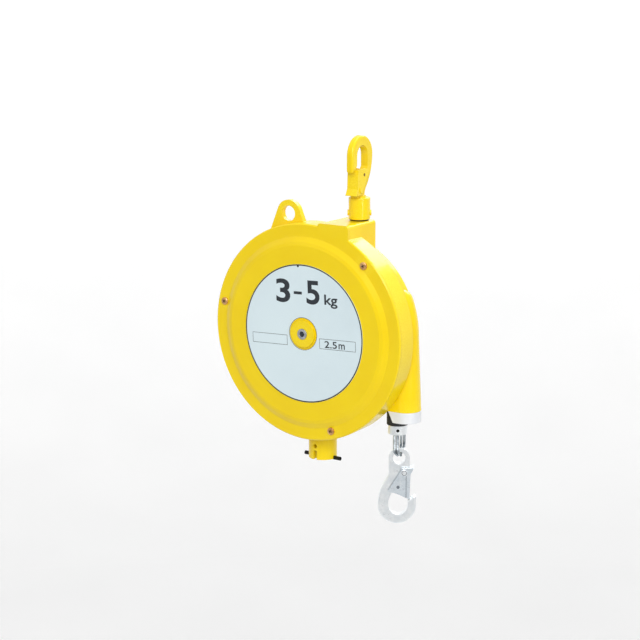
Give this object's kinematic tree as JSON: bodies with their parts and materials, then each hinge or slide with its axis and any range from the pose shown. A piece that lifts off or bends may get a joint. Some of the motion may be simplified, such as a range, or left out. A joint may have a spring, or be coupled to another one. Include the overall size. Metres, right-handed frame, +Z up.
{
  "type": "tool balancer",
  "caption": "Hanging spring balancer: round yellow case with face plate and tension socket, safety lug, swivel snap hook above, and a retracting cable with a snap hook below.",
  "frame": {"origin": "saddle of the suspension hook, where its bowl bears on the bar that holds it", "axes": "+Z up, -Y towards the face plate, +X towards the cable side"},
  "size_m": [0.2, 0.0685, 0.3539],
  "materials": {
    "alu": "cast",
    "bronze": "sintered bronze",
    "brown": "yellow passivated screw",
    "dark": "black oxide",
    "nylon": "white nylon",
    "plate": "pale satin sheet",
    "rubber": "black",
    "silver": "bright zinc plate",
    "spring": "blued spring steel",
    "steel": "turned",
    "wire": "stranded wire",
    "yellow": "yellow gloss"
  },
  "bodies": {
    "suspension": {"upper_hook": "yellow", "upper_latch_spring": "spring", "upper_rivet": "steel", "swivel_collar": "yellow", "collar_pin": "yellow", "swivel_nut": "steel", "nut_washer": "bronze", "thrust_washer": "dark"},
    "upper_latch": {"upper_latch": "yellow"},
    "case": {"rear_case": "yellow", "front_cover": "yellow", "face_plate": "plate", "cover_screws": "brown", "cable_nozzle": "nylon", "front_bush": "bronze", "rear_bush": "bronze", "pawl_pin": "steel", "pawl_spring": "spring"},
    "drum": {"cable_drum": "alu", "drum_cover": "steel", "drum_cover_screws": "steel", "drum_bushes": "bronze", "main_spring": "spring", "wound_cable": "wire", "cable_anchor": "steel"},
    "shaft": {"main_shaft": "steel", "spring_arbor": "steel", "ratchet_wheel": "steel", "shaft_circlip": "spring"},
    "pawl": {"ratchet_pawl": "steel"},
    "lock": {"lock_plunger": "steel", "lock_pin": "dark", "lock_spring": "spring"},
    "cable_end": {"cable_run": "wire", "rubber_buffer": "rubber", "stop_collar": "silver", "collar_screw": "dark", "cable_ferrule": "steel", "cable_loop": "wire"},
    "load_hook": {"lower_hook": "silver", "lower_latch_spring": "spring", "lower_rivet": "silver"},
    "lower_latch": {"lower_latch": "silver"}
  },
  "joints": [
    {"name": "hook_swivel", "type": "hinge", "parent": "suspension", "child": "case", "pos_m": [0, 0, -0.0677], "axis": [0, 0, 1], "continuous": true},
    {"name": "upper_latch_press", "type": "hinge", "parent": "suspension", "child": "upper_latch", "pos_m": [0.00011, -0.0063, -0.0399], "axis": [-0.9998, -0.0175, 0], "range_deg": [0, 28], "stiffness_Nm_per_rad": 0.04, "springref_deg": -20.05},
    {"name": "drum_spin", "type": "hinge", "parent": "case", "child": "drum", "pos_m": [-0.0344, 0, -0.1695], "axis": [0, 1, 0], "range_deg": [0, 1855.5], "stiffness_Nm_per_rad": 0.025, "springref_deg": -5500.39},
    {"name": "cable_travel", "type": "slide", "parent": "case", "child": "cable_end", "axis": [0, 0, -1], "range_m": [0, 2.5], "deforming": ["cable_run"]},
    {"name": "hook_swing", "type": "hinge", "parent": "cable_end", "child": "load_hook", "pos_m": [0.04353, 0.00093, -0.2826], "axis": [0.5446, -0.8387, 0], "range_deg": [-45, 45]},
    {"name": "lower_latch_press", "type": "hinge", "parent": "load_hook", "child": "lower_latch", "pos_m": [0.04738, 0.00343, -0.296], "axis": [0.5446, -0.8387, 0], "range_deg": [-28, 0], "stiffness_Nm_per_rad": 0.04, "springref_deg": 20.05},
    {"name": "tension_adjust", "type": "hinge", "parent": "case", "child": "shaft", "pos_m": [-0.0344, -0.036, -0.1695], "axis": [0, 1, 0], "continuous": true},
    {"name": "pawl_lift", "type": "hinge", "parent": "case", "child": "pawl", "pos_m": [-0.05486, -0.036, -0.19665], "axis": [0, -1, 0], "range_deg": [0, 12], "stiffness_Nm_per_rad": 0.02, "springref_deg": -17.19},
    {"name": "lock_pull", "type": "slide", "parent": "case", "child": "lock", "axis": [0, 0, -1], "range_m": [0, 0.003], "stiffness_N_per_m": 900, "springref_m": -0.012, "deforming": ["lock_spring"]}
  ],
  "couplings": [
    {"joint": "cable_travel", "follows": "drum_spin", "m_per_rad": 0.077175}
  ]
}
